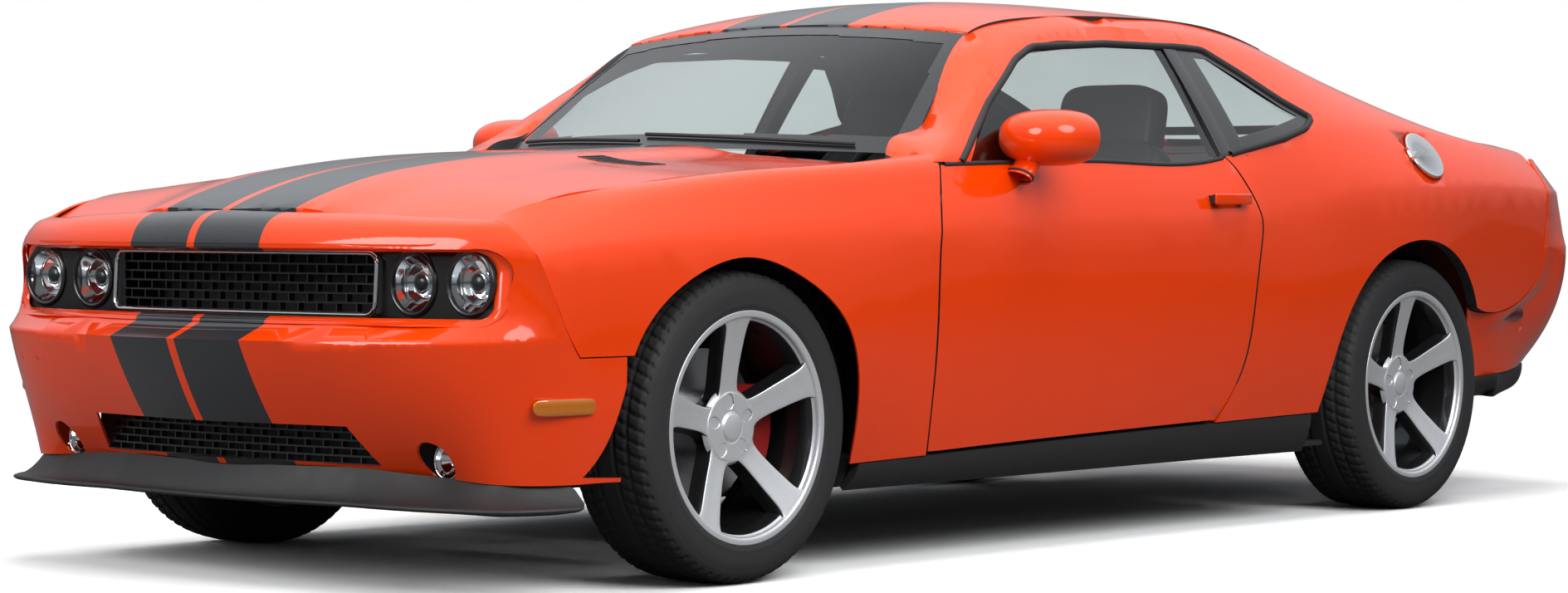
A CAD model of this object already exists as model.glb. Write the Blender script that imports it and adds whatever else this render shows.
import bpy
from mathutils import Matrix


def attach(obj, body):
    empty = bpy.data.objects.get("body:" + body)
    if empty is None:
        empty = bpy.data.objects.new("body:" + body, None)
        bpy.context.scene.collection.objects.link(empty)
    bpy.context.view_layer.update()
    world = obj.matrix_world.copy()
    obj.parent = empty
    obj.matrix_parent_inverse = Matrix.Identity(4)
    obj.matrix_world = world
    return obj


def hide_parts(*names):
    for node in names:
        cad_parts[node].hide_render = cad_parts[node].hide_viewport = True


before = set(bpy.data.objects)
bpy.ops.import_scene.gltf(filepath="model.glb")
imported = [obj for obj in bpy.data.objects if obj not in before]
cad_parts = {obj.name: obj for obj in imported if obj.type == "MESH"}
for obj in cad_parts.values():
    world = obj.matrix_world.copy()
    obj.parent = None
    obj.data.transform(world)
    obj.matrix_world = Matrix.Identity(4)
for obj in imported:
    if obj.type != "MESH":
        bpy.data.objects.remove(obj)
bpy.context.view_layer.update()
import math
import bpy
import bmesh
import numpy as np
from mathutils import Matrix, Vector

print("frame loaded:", len(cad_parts), "solids")
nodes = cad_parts

# camera, lamps, surroundings and floor
cameraSet = {"place": (8.047, 6.596, 0.866), "yaw": 220.194, "pitch": -1.115, "roll": 0.117,
             "lens": 85.78, "sensor": 36.0, "far": 200.0, "shiftX": -0.01945, "shiftY": -0.0085}
lampSet = {"key": (3.0, 6.5, 5.0, 5.5, 400.0), "fill": (7.5, -1.0, 3.5, 3.5, 210.0),
           "back": (-5.0, -5.0, 6.0, 3.0, 50.0), "top": (0.5, 0.3, 6.5, 5.5, 400.0)}
lampAim = (0.0, 0.0, 0.6)
unmirroredLamps = ("top", "back")
white = (1.0, 1.0, 1.0, 1.0)
worldSet = {"light": (0.80, 0.83, 0.87, 1.0), "strength": 0.50, "low": 0.08, "fullRise": 0.75,
            "mirrored": 1.4}
floorSet = {"size": 60.0, "tone": 1.22, "wander": 1.04, "grain": 3.0, "bounce": 0.12,
            "near": 3.2, "far": 7.0}


def makeCamera(setUp):
    # the view direction from yaw and pitch, then the roll about it
    yaw, pitch, roll = [math.radians(setUp[key]) for key in ("yaw", "pitch", "roll")]
    forward = Vector((math.cos(yaw) * math.cos(pitch), math.sin(yaw) * math.cos(pitch),
                      math.sin(pitch)))
    right = Vector((math.sin(yaw), -math.cos(yaw), 0.0))
    upward = right.cross(forward)
    rolledRight = right * math.cos(roll) + upward * math.sin(roll)
    rolledUp = upward * math.cos(roll) - right * math.sin(roll)
    data = bpy.data.cameras.new("viewCamera")
    data.lens = setUp["lens"]
    data.sensor_width = setUp["sensor"]
    data.shift_x, data.shift_y = setUp["shiftX"], setUp["shiftY"]
    data.clip_end = setUp["far"]
    camera = bpy.data.objects.new("viewCamera", data)
    turn = Matrix((rolledRight, rolledUp, -forward)).transposed()
    camera.matrix_world = Matrix.Translation(setUp["place"]) @ turn.to_4x4()
    bpy.context.scene.collection.objects.link(camera)
    bpy.context.scene.camera = camera


def makeLamp(name, x, y, z, size, power):
    # a round area lamp at a place, turned to face the aim point
    data = bpy.data.lights.new(name, "AREA")
    data.shape = "DISK"
    data.size = size
    data.energy = power
    lamp = bpy.data.objects.new(name, data)
    lamp.location = (x, y, z)
    way = Vector(lampAim) - Vector((x, y, z))
    lamp.rotation_euler = way.to_track_quat("-Z", "Y").to_euler()
    lamp.visible_glossy = name not in unmirroredLamps
    bpy.context.scene.collection.objects.link(lamp)


class NodeBench:
    # a short way to add nodes to one material or world and join their sockets
    def __init__(self, owner):
        owner.use_nodes = True
        self.tree = owner.node_tree
        self.tree.nodes.clear()

    def add(self, kind, inputs=None, **settings):
        # a node of a kind; each input is a number, a colour or another node's socket
        node = self.tree.nodes.new("ShaderNode" + kind)
        for key, value in settings.items():
            setattr(node, key, value)
        for key, value in (inputs or {}).items():
            if isinstance(value, bpy.types.NodeSocket):
                self.tree.links.new(value, node.inputs[key])
            else:
                node.inputs[key].default_value = value
        return node

    def maths(self, operation, first, second=0.0, third=0.0):
        inputs = {0: first, 1: second, 2: third}
        return self.add("Math", inputs, operation=operation).outputs[0]

    def blend(self, share, first, second, way="MIX"):
        # first times 1 - share plus second times share, or their product
        inputs = {0: share, 6: first, 7: second}
        return self.add("Mix", inputs, data_type="RGBA", blend_type=way).outputs[2]

    def ranged(self, value, low, high, start, end, way="LINEAR"):
        # low to high becomes start to end, held beyond both
        inputs = {"Value": value, 1: low, 2: high, 3: start, 4: end}
        return self.add("MapRange", inputs, interpolation_type=way).outputs[0]

    def layered(self, share, first, second):
        # the first surface for 1 - share of the rays, the second for share of them
        inputs = {0: share, 1: first.outputs[0], 2: second.outputs[0]}
        return self.add("MixShader", inputs)

    def surface(self, shader, output="OutputMaterial"):
        self.add(output, {"Surface": shader.outputs[0]})


def makeWorld(setUp):
    # white for the camera; for light a grey that grows with height and is stronger in mirrors
    world = bpy.data.worlds.new("studioWorld")
    bpy.context.scene.world = world
    bench = NodeBench(world)
    path = bench.add("LightPath").outputs
    seen = bench.maths("MAXIMUM", path["Is Camera Ray"], path["Is Transmission Ray"])
    way = bench.add("TexCoord").outputs["Generated"]
    rise = bench.add("SeparateXYZ", {0: way}).outputs[2]
    shade = bench.ranged(rise, 0.0, setUp["fullRise"], setUp["low"], setUp["strength"])
    boost = bench.maths("MULTIPLY_ADD", path["Is Glossy Ray"], setUp["mirrored"], 1.0)
    power = bench.maths("MULTIPLY", shade, boost)
    lit = bench.add("Background", {"Color": setUp["light"], "Strength": power})
    plain = bench.add("Background", {"Color": white, "Strength": 1.0})
    bench.surface(bench.layered(seen, lit, plain), "OutputWorld")


def makeFloor(setUp):
    # a pale floor that gives back little light and fades to white with distance
    half = setUp["size"] / 2
    mesh = bpy.data.meshes.new("studioFloor")
    corners = [(-half, -half, 0.0), (half, -half, 0.0), (half, half, 0.0), (-half, half, 0.0)]
    mesh.from_pydata(corners, [], [(0, 1, 2, 3)])
    floor = bpy.data.objects.new("studioFloor", mesh)
    bpy.context.scene.collection.objects.link(floor)
    material, bench, place = finishBase("paleFloor")
    noise = bench.add("TexNoise", {"Vector": place, "Scale": setUp["grain"], "Detail": 4.0})
    plain, wandered = [(tone, tone, tone, 1.0)
                       for tone in (setUp["tone"], setUp["tone"] * setUp["wander"])]
    tone = bench.blend(noise.outputs["Fac"], plain, wandered)
    camera = bench.add("LightPath").outputs["Is Camera Ray"]
    dull = bench.maths("MULTIPLY_ADD", camera, 1.0 - setUp["bounce"], setUp["bounce"])
    toned = bench.blend(1.0, tone, dull, "MULTIPLY")
    shader = bench.add("BsdfDiffuse", {"Color": toned, "Roughness": 0.3})
    away = bench.add("VectorMath", {0: place}, operation="LENGTH").outputs["Value"]
    fade = bench.ranged(away, setUp["near"], setUp["far"], 0.0, 1.0, "SMOOTHSTEP")
    seen = bench.maths("MULTIPLY", fade, camera)
    glow = bench.add("Emission", {"Color": white, "Strength": 1.0})
    bench.surface(bench.layered(seen, shader, glow))
    mesh.materials.append(material)


def finishBase(name):
    # a material with an empty node tree, and the socket of the object's own coordinates
    material = bpy.data.materials.new(name)
    bench = NodeBench(material)
    return material, bench, bench.add("TexCoord").outputs["Object"]


bpy.context.scene.view_settings.view_transform = "Standard"
makeCamera(cameraSet)
for lampName, values in lampSet.items():
    makeLamp(lampName, *values)
makeWorld(worldSet)
makeFloor(floorSet)
print("studio ready")

# finishes
paintSet = {"orange": (0.95, 0.056, 0.0004), "stripe": (0.030, 0.032, 0.036, 1.0),
            "stripeInner": 0.0125, "stripeOuter": 0.223, "flake": 900.0, "roughness": 0.28,
            "mirror": 0.06, "coatRoughness": 0.07}
glassIndex = 1.5


def noiseTone(bench, place, colour, scale, spread):
    # the colour times a factor that wanders by spread with a noise of that scale
    inputs = {"Vector": place, "Scale": scale, "Detail": 5.0, "Roughness": 0.6}
    noise = bench.add("TexNoise", inputs).outputs["Fac"]
    dark = [c * (1.0 - spread) for c in colour]
    light = [min(c * (1.0 + spread), 1.0) for c in colour]
    return bench.blend(noise, (*dark, 1.0), (*light, 1.0)), noise


def fineGrain(bench, place, scale, detail, strength, depth):
    # a fine noise, and the bump that it makes
    inputs = {"Vector": place, "Scale": scale, "Detail": detail}
    fine = bench.add("TexNoise", inputs).outputs["Fac"]
    inputs = {"Height": fine, "Strength": strength, "Distance": depth}
    return fine, bench.add("Bump", inputs).outputs[0]


def finished(material, bench, tone, roughness, **inputs):
    # the standard surface with a tone and a roughness; an underscore in a name is a space
    named = {key.replace("_", " "): value for key, value in inputs.items()}
    named.update({"Base Color": tone, "Roughness": roughness})
    bench.surface(bench.add("BsdfPrincipled", named))
    return material


def paintFinish(name, striped):
    # a coloured base with fine flake under a clear coat; stripes where |y| is between two widths
    material, bench, place = finishBase(name)
    colour = noiseTone(bench, place, paintSet["orange"], 5.0, 0.03)[0]
    flake = bench.add("TexVoronoi", {"Vector": place, "Scale": paintSet["flake"]})
    if striped:
        wide = bench.maths("ABSOLUTE", bench.add("SeparateXYZ", {0: place}).outputs[1])
        inside = bench.maths("LESS_THAN", wide, paintSet["stripeOuter"])
        beyond = bench.maths("GREATER_THAN", wide, paintSet["stripeInner"])
        mask = bench.maths("MULTIPLY", inside, beyond)
        colour = bench.blend(mask, colour, paintSet["stripe"])
    inputs = {"Height": flake.outputs["Distance"], "Strength": 0.02, "Distance": 0.0003}
    bump = bench.add("Bump", inputs).outputs[0]
    return finished(material, bench, colour, paintSet["roughness"], Metallic=0.0, Normal=bump,
                    Specular_IOR_Level=paintSet["mirror"], Coat_Weight=1.0,
                    Coat_Roughness=paintSet["coatRoughness"])


def plasticFinish(name, colour, roughness, grain, depth=0.0002, spread=0.12, coat=0.0):
    # a moulded surface: fine grain bump and a slight wander of tone and of roughness
    material, bench, place = finishBase(name)
    tone, wide = noiseTone(bench, place, colour, 14.0, spread)
    bump = fineGrain(bench, place, grain, 3.0, 0.35, depth)[1]
    worn = bench.ranged(wide, 0.3, 0.7, roughness * 0.9, min(roughness * 1.12, 1.0))
    return finished(material, bench, tone, worn, Coat_Weight=coat, Coat_Roughness=0.05,
                    Normal=bump)


def metalFinish(name, colour, roughness, grain, metallic=1.0):
    # bare or plated metal: tone wander, and fine grain in the roughness and the bump
    material, bench, place = finishBase(name)
    tone = noiseTone(bench, place, colour, 9.0, 0.06)[0]
    fine, bump = fineGrain(bench, place, grain, 4.0, 0.15, 0.0001)
    worn = bench.ranged(fine, 0.3, 0.7, roughness * 0.8, min(roughness * 1.25, 1.0))
    return finished(material, bench, tone, worn, Metallic=metallic, Normal=bump)


def lensFinish(name, colour, roughness, opacity):
    # a coloured lens: nearly full colour with the gloss of a dielectric on top
    material, bench, place = finishBase(name)
    tone = noiseTone(bench, place, colour, 2.0, 0.05)[0]
    return finished(material, bench, tone, roughness, Alpha=opacity, IOR=glassIndex,
                    Coat_Weight=1.0, Coat_Roughness=0.0)


def windowFinish(name, tint):
    # see-through tint under a mirror that grows at low angles, on the outer face only
    material, bench, place = finishBase(name)
    clear = bench.add("BsdfTransparent", {"Color": noiseTone(bench, place, tint, 2.0, 0.03)[0]})
    gloss = bench.add("BsdfGlossy", {"Color": white, "Roughness": 0.0})
    edge = bench.add("Fresnel", {"IOR": glassIndex}).outputs[0]
    front = bench.maths("SUBTRACT", 1.0, bench.add("NewGeometry").outputs["Backfacing"])
    bench.surface(bench.layered(bench.maths("MULTIPLY", edge, front), clear, gloss))
    return material


orangePaint = paintFinish("orangePaint", False)
stripedPaint = paintFinish("stripedPaint", True)
blackTrim = plasticFinish("blackTrim", (0.020, 0.020, 0.021), 0.55, 700.0)
glossBlack = plasticFinish("glossBlack", (0.012, 0.012, 0.013), 0.30, 500.0, 0.00008, 0.1, 0.6)
structureBlack = plasticFinish("structureBlack", (0.025, 0.025, 0.027), 0.6, 300.0)
linerBlack = plasticFinish("linerBlack", (0.008, 0.008, 0.008), 0.9, 250.0, 0.0006)
dashBlack = plasticFinish("dashBlack", (0.028, 0.028, 0.030), 0.6, 900.0)
seatLeather = plasticFinish("seatLeather", (0.030, 0.030, 0.032), 0.45, 420.0, 0.0005)
wheelLeather = plasticFinish("wheelLeather", (0.020, 0.020, 0.021), 0.42, 480.0, 0.0004)
tyreRubber = plasticFinish("tyreRubber", (0.022, 0.022, 0.023), 0.72, 260.0, 0.0004)
alloyBright = metalFinish("alloyBright", (0.80, 0.81, 0.83), 0.34, 350.0, 0.6)
discIron = metalFinish("discIron", (0.45, 0.45, 0.46), 0.35, 600.0)
chassisSteel = metalFinish("chassisSteel", (0.06, 0.06, 0.065), 0.5, 200.0, 0.6)
engineMetal = metalFinish("engineMetal", (0.16, 0.16, 0.17), 0.45, 160.0, 0.7)
pipeSteel = metalFinish("pipeSteel", (0.62, 0.62, 0.63), 0.28, 300.0)
chromeBright = metalFinish("chromeBright", (0.83, 0.84, 0.86), 0.06, 120.0)
caliperRed = plasticFinish("caliperRed", (0.35, 0.012, 0.012), 0.35, 300.0, 0.0001, 0.08, 0.5)
clearGlass = windowFinish("clearGlass", (0.84, 0.87, 0.87))
redLens = lensFinish("redLens", (0.45, 0.004, 0.006), 0.05, 0.88)
amberLens = lensFinish("amberLens", (0.55, 0.16, 0.010), 0.1, 0.96)
darkRedLens = lensFinish("darkRedLens", (0.12, 0.006, 0.008), 0.1, 0.97)
wheelBlack = plasticFinish("wheelBlack", (0.010, 0.010, 0.011), 0.32, 500.0, 0.00008, 0.1, 0.5)

wheelCorners = [(end, side) for end in ("front", "rear") for side in ("left", "right")]
cadFinishes = [
    (orangePaint, "fenders body_sides door_left door_right mirror_left mirror_right rear_fascia"),
    (stripedPaint, "front_fascia hood roof_panel rear_deck_panel trunk_lid rear_spoiler"),
    (blackTrim, "front_splitter rear_valance hood_vents cowl_panel sills"),
    (clearGlass, "door_glass_left door_glass_right fixed_glass"),
    (chassisSteel, "front_suspension rear_suspension knuckle_front_left knuckle_front_right"),
    (caliperRed, "caliper_front_left caliper_front_right rear_calipers"),
    (chromeBright, "front_lamps fuel_door"), (redLens, "tail_lamps"), (glossBlack, "grille"),
    (structureBlack, "floor_pan"), (linerBlack, "wheel_liners"), (engineMetal, "engine_block"),
    (pipeSteel, "exhaust"), (dashBlack, "dashboard"), (wheelLeather, "steering_wheel"),
    (seatLeather, "seats"),
]
finishOf = {nodeName: finish for finish, names in cadFinishes for nodeName in names.split()}
for end, side in wheelCorners:
    for kind, finish in (("tyre_", tyreRubber), ("rim_", alloyBright), ("brake_disc_", discIron)):
        finishOf[kind + end + "_" + side] = finish
for nodeName, finish in finishOf.items():
    slots = nodes[nodeName].data.materials
    slots.clear()
    slots.append(finish)
print("finishes ready")

# the car's sizes and places along it
carSet = {"wheelbase": 2.946, "frontOverhang": 0.950, "rearOverhang": 1.126,
          "halfWidth": 0.9615, "height": 1.450}
carLength = carSet["wheelbase"] + carSet["frontOverhang"] + carSet["rearOverhang"]
frontAxle = carLength / 2 - carSet["frontOverhang"]
rearAxle = frontAxle - carSet["wheelbase"]
weldDistance = 2e-5


def along(share):
    # 0 is the rear axle, 1 the front axle, 2 the nose and -1 the tail
    share = np.asarray(share, float)
    mid = rearAxle + share * carSet["wheelbase"]
    tail = rearAxle + share * carSet["rearOverhang"]
    nose = frontAxle + (share - 1.0) * carSet["frontOverhang"]
    return np.where(share < 0.0, tail, np.where(share > 1.0, nose, mid))


def smoothLine(xs, vs):
    # a function of arrays: cubic pieces through the points, with the parabola's slope at each
    order = np.argsort(xs)
    xs, vs = np.asarray(xs, float)[order], np.asarray(vs, float)[order]
    span = np.diff(xs)
    rise = np.diff(vs) / span
    inner = (rise[:-1] * span[1:] + rise[1:] * span[:-1]) / (span[:-1] + span[1:])
    slope = np.concatenate([rise[:1], inner, rise[-1:]])

    def at(x):
        x = np.asarray(x, float)
        i = np.clip(np.searchsorted(xs, x) - 1, 0, len(xs) - 2)
        width = span[i]
        t = np.clip((x - xs[i]) / width, 0.0, 1.0)
        value = (vs[i] * (1 + 2 * t) * (1 - t) ** 2 + slope[i] * width * t * (1 - t) ** 2
                 + vs[i + 1] * t * t * (3 - 2 * t) + slope[i + 1] * width * t * t * (t - 1))
        before, after = np.minimum(x - xs[0], 0.0), np.maximum(x - xs[-1], 0.0)
        return value + before * slope[0] + after * slope[-1]

    return at


def tableLine(rows, column, size):
    # a table's column, times a size, as a smooth line over the places in its first column
    return smoothLine([float(along(row[0])) for row in rows], [row[column] * size for row in rows])


def ease(t):
    # the smooth step: three t squared less two t cubed
    return t * t * (3 - 2 * t)


def runOf(points):
    # the length run so far at each point of a polyline
    steps = np.linalg.norm(np.diff(points, axis=0), axis=1)
    return np.concatenate([[0.0], np.cumsum(steps)])


def resample(points, count):
    # a polyline walked at equal steps of its own length
    points = np.asarray(points, float)
    run = runOf(points)
    at = np.linspace(0.0, run[-1], count)
    return np.stack([np.interp(at, run, points[:, k]) for k in range(points.shape[1])], 1)


def smoothPath(points, count):
    # a dense smooth line through a few points, by chord length
    points = np.asarray(points, float)
    chord = runOf(points)
    at = np.linspace(0.0, chord[-1], count)
    return np.stack([smoothLine(chord, points[:, k])(at) for k in range(points.shape[1])], 1)


def sideLine(rows, count=50):
    # a table of shares of the length and of the height, as a dense line in metres
    rows = np.array(rows, float)
    return resample(np.stack([along(rows[:, 0]), rows[:, 1] * carSet["height"]], 1), count)


def coons(bottom, top, left, right):
    # fills four edge lines: the two blends between opposite edges, less the blend of the corners
    n, m = len(bottom), len(left)
    u, v = np.linspace(0, 1, n)[:, None, None], np.linspace(0, 1, m)[None, :, None]
    across = (1 - v) * bottom[:, None] + v * top[:, None]
    upright = (1 - u) * left[None] + u * right[None]
    corners = ((1 - v) * ((1 - u) * bottom[0] + u * bottom[-1])
               + v * ((1 - u) * top[0] + u * top[-1]))
    return across + upright - corners


def gridFaces(n, m):
    # quads of a grid of n columns of m points
    i, j = np.meshgrid(np.arange(n - 1), np.arange(m - 1), indexing="ij")
    a = (i * m + j).ravel()
    return np.stack([a, a + m, a + m + 1, a + 1], 1)


def handed(faces, sign):
    # the faces, turned over when the sign is not above zero
    return faces if sign > 0 else faces[:, ::-1]


def vertexNormals(points, quads):
    # the sum of the crosses of each face's diagonals at its corners, made unit long
    normals = np.zeros_like(points)
    a, b, c, d = [points[quads[:, k]] for k in range(4)]
    for k in range(4):
        np.add.at(normals, quads[:, k], np.cross(c - a, d - b))
    length = np.linalg.norm(normals, axis=1, keepdims=True)
    return normals / np.where(length > 1e-12, length, 1.0)


def hemmed(points, quads, radius, depth):
    # rolls every free edge round a small radius and turns it inward by a depth
    count = len(points)
    edges = np.concatenate([quads[:, [k, (k + 1) % 4]] for k in range(4)])
    keys, turned = edges[:, 0] * count + edges[:, 1], edges[:, 1] * count + edges[:, 0]
    free = edges[~np.isin(keys, turned)]
    normals = vertexNormals(points, quads)
    lateral = np.zeros_like(points)
    way = points[free[:, 1]] - points[free[:, 0]]
    for k in (0, 1):
        outward = np.cross(way, normals[free[:, k]])
        length = np.maximum(np.linalg.norm(outward, axis=1, keepdims=True), 1e-12)
        np.add.at(lateral, free[:, k], outward / length)
    used = np.unique(free)
    lateral[used] /= np.maximum(np.linalg.norm(lateral[used], axis=1, keepdims=True), 1e-12)
    rings, strips, start = [points], [quads], count
    low = (free[:, 0], free[:, 1])
    for turn, sink in ((30, 0.0), (60, 0.0), (90, 0.0), (90, depth)):
        angle = math.radians(turn)
        inward = radius * (1 - math.cos(angle)) + sink
        rings.append(points[used] + lateral[used] * radius * math.sin(angle)
                     - normals[used] * inward)
        target = np.full(count, -1)
        target[used] = start + np.arange(len(used))
        high = (target[free[:, 0]], target[free[:, 1]])
        strips.append(np.stack([low[1], low[0], high[0], high[1]], 1))
        low, start = high, start + len(used)
    return np.concatenate(rings), np.concatenate(strips)


def shown(name, mesh, finish, body, hides):
    # puts a mesh in the scene with its finish, its body, its slot and the nodes it stands for
    mesh.materials.append(finish)
    piece = bpy.data.objects.new(name, mesh)
    bpy.context.scene.collection.objects.link(piece)
    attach(piece, body)
    if hides:
        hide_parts(*hides)
    return piece


def makePiece(name, points, quads, finish, body, slotName, hides=(), smooth=True):
    # arrays of points and of quads, turned outwards already, put straight into a mesh
    mesh = bpy.data.meshes.new(name)
    mesh.vertices.add(len(points))
    mesh.vertices.foreach_set("co", np.asarray(points, np.float32).ravel())
    mesh.loops.add(quads.size)
    mesh.loops.foreach_set("vertex_index", quads.astype(np.int32).ravel())
    mesh.polygons.add(len(quads))
    mesh.polygons.foreach_set("loop_start", np.arange(0, quads.size, 4, dtype=np.int32))
    mesh.polygons.foreach_set("use_smooth", np.full(len(quads), smooth))
    mesh.update(calc_edges=True)
    mesh.validate()
    return shown(name, mesh, finish, body, hides)


def panel(name, grid, finish, slotName, radius, depth, sides=(1, -1), outward=(0, 1, 0)):
    # one skin on the body, hemmed at its free edges; side -1 is its mirror image
    points, quads = grid.reshape(-1, 3), gridFaces(*grid.shape[:2])
    quads = handed(quads, (vertexNormals(points, quads) @ np.array(outward)).sum())
    points, quads = hemmed(points, quads, radius, depth)
    points, quads = joined([(points * [1.0, side, 1.0], handed(quads, side)) for side in sides])
    makePiece(name, points, quads, finish, "body", slotName)


# the body's own lines, as shares of the car's length, half width and height
bodyLines = {
    "belt": [(1.883, 0.832, 0.552), (1.462, 0.884, 0.599), (1.000, 0.903, 0.645),
             (0.877, 0.909, 0.663), (0.762, 0.911, 0.673), (0.538, 0.911, 0.685),
             (0.317, 0.909, 0.696), (0.233, 0.905, 0.737), (0.131, 0.897, 0.763),
             (0.000, 0.886, 0.763), (-0.324, 0.876, 0.748), (-0.635, 0.863, 0.721),
             (-0.901, 0.848, 0.697)],
    "shoulder": [(0.742, 0.879, 0.686), (0.724, 0.874, 0.703), (0.674, 0.822, 0.766),
                 (0.626, 0.772, 0.821), (0.584, 0.728, 0.870), (0.530, 0.686, 0.909),
                 (0.470, 0.668, 0.931), (0.385, 0.659, 0.942), (0.300, 0.659, 0.943),
                 (0.216, 0.668, 0.932), (0.165, 0.681, 0.916), (0.110, 0.699, 0.891),
                 (0.019, 0.728, 0.838), (-0.111, 0.754, 0.806), (-0.280, 0.780, 0.769),
                 (-0.413, 0.801, 0.745), (-0.635, 0.795, 0.732), (-0.860, 0.785, 0.712)],
    "edge": [(0.742, 0.764), (0.724, 0.749), (0.674, 0.702), (0.626, 0.656), (0.584, 0.617),
             (0.530, 0.608), (0.470, 0.601), (0.385, 0.595), (0.300, 0.595), (0.216, 0.598),
             (0.165, 0.603), (0.110, 0.614), (0.019, 0.634), (-0.111, 0.645), (-0.280, 0.666),
             (-0.413, 0.686), (-0.635, 0.686), (-0.860, 0.686)],
    "window": [(0.711, 0.681), (0.633, 0.786), (0.559, 0.869), (0.523, 0.895), (0.409, 0.909),
               (0.313, 0.910)],
    "quarterTop": [(0.299, 0.911), (0.255, 0.908), (0.222, 0.868), (0.182, 0.812),
                   (0.150, 0.779)],
    "quarterLow": [(0.150, 0.779), (0.172, 0.757), (0.216, 0.737), (0.304, 0.704)],
}
railCrown = 0.005
beltHalf, shoulderHalf, edgeHalf = [tableLine(bodyLines[key], 1, carSet["halfWidth"])
                                    for key in ("belt", "shoulder", "edge")]
beltHeight, shoulderHeight = [tableLine(bodyLines[key], 2, carSet["height"])
                              for key in ("belt", "shoulder")]


def railY(x, z):
    # half width between the belt and the shoulder: the parabola through both and a crown midway
    z0, z2 = beltHeight(x), shoulderHeight(x)
    y0, y2 = beltHalf(x), shoulderHalf(x)
    z1, y1 = (z0 + z2) / 2 + railCrown, (y0 + y2) / 2 + railCrown
    return (y0 * (z - z1) * (z - z2) / ((z0 - z1) * (z0 - z2))
            + y1 * (z - z0) * (z - z2) / ((z1 - z0) * (z1 - z2))
            + y2 * (z - z0) * (z - z1) / ((z2 - z0) * (z2 - z1)))


def onRail(grid, proud):
    # side-view points set on the window surface, moved out by a little
    x, z = grid[..., 0], grid[..., 1]
    return np.stack([x, railY(x, z) + proud, z], -1)


def paintFaces(piece, finish, picked):
    # the picked faces take a second finish
    piece.data.materials.append(finish)
    piece.data.polygons.foreach_set("material_index", picked.astype(np.int32))


def readRows(items, key):
    # a three-number property of a mesh's vertices or faces, as rows
    rows = np.empty(len(items) * 3, np.float32)
    items.foreach_get(key, rows)
    return rows.reshape(-1, 3)


def setSpots(mesh, spots):
    # puts rows of x, y, z back on the mesh's vertices
    mesh.vertices.foreach_set("co", spots.ravel())
    mesh.update()


def smoothCopy(nodeName, body, angle=28.0):
    # a copy of the solid's mesh with its loose triangles merged, smooth below an edge angle
    mesh = nodes[nodeName].data.copy()
    mesh.name = "smooth_" + nodeName
    work = bmesh.new()
    work.from_mesh(mesh)
    bmesh.ops.remove_doubles(work, verts=work.verts, dist=weldDistance)
    work.to_mesh(mesh)
    work.free()
    mesh.shade_smooth()
    mesh.set_sharp_from_angle(angle=math.radians(angle))
    mesh.materials.clear()
    return shown("smooth_" + nodeName, mesh, finishOf[nodeName], body, (nodeName,))


def lathe(profile, turns, axis="y"):
    # a profile of (radius, place on the axis) turned round: a closed ring of columns
    profile = np.asarray(profile, float)
    angle = np.linspace(0, 2 * math.pi, turns, endpoint=False)
    r, w = profile[:, 0][None], np.repeat(profile[:, 1][None], turns, 0)
    a, b = r * np.cos(angle)[:, None], r * np.sin(angle)[:, None]
    return np.stack([a, w, b] if axis == "y" else [w, a, b], -1)


def ringFaces(turns, count):
    # quads of a grid whose columns close into a ring
    i, j = np.meshgrid(np.arange(turns), np.arange(count - 1), indexing="ij")
    a, b = (i * count + j).ravel(), ((i + 1) % turns * count + j).ravel()
    return np.stack([a, b, b + 1, a + 1], 1)


def rounded(profile, radius, steps=3):
    # corners of an open profile cut back by a radius and filled with a short arc
    profile = np.asarray(profile, float)
    out = [profile[0]]
    for before, at, after in zip(profile[:-2], profile[1:-1], profile[2:]):
        back, on = before - at, after - at
        cut = min(radius, np.linalg.norm(back) / 2.2, np.linalg.norm(on) / 2.2)
        start, end = at + back / np.linalg.norm(back) * cut, at + on / np.linalg.norm(on) * cut
        for t in np.linspace(0, 1, steps + 1):
            out.append((1 - t) ** 2 * start + 2 * t * (1 - t) * at + t * t * end)
    out.append(profile[-1])
    return np.array(out)


def joined(blocks):
    # several (points, quads) blocks as one
    points, faces, start = [], [], 0
    for block, quads in blocks:
        points.append(block.reshape(-1, 3))
        faces.append(quads + start)
        start += len(points[-1])
    return np.concatenate(points), np.concatenate(faces)


def tube(path, radius, sides=10, closed=False):
    # a round section carried along a path
    path = np.asarray(path, float)
    if closed:
        way = np.roll(path, -1, 0) - np.roll(path, 1, 0)
    else:
        way = np.gradient(path, axis=0)
    way /= np.linalg.norm(way, axis=1, keepdims=True)
    lead = np.where(np.abs(way[:, 2:3]) > 0.9, [[1.0, 0.0, 0.0]], [[0.0, 0.0, 1.0]])
    first = np.cross(way, lead)
    first /= np.linalg.norm(first, axis=1, keepdims=True)
    other = np.cross(first, way)
    angle = np.linspace(0, 2 * math.pi, sides, endpoint=False)[None, :, None]
    circle = first[:, None] * np.cos(angle) + other[:, None] * np.sin(angle)
    ring = path[:, None] + radius * circle
    return ring.reshape(-1, 3), tubeFaces(len(path), sides, closed)


def tubeFaces(count, sides, closed=False):
    # quads between the rings of a tube; a closed one joins its last ring to its first
    i, j = np.meshgrid(np.arange(count if closed else count - 1), np.arange(sides), indexing="ij")
    on, beside = (i + 1) % count * sides, (j + 1) % sides
    return np.stack([i * sides + j, on + j, on + beside, i * sides + beside], -1).reshape(-1, 4)


print("surface tools ready")

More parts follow.
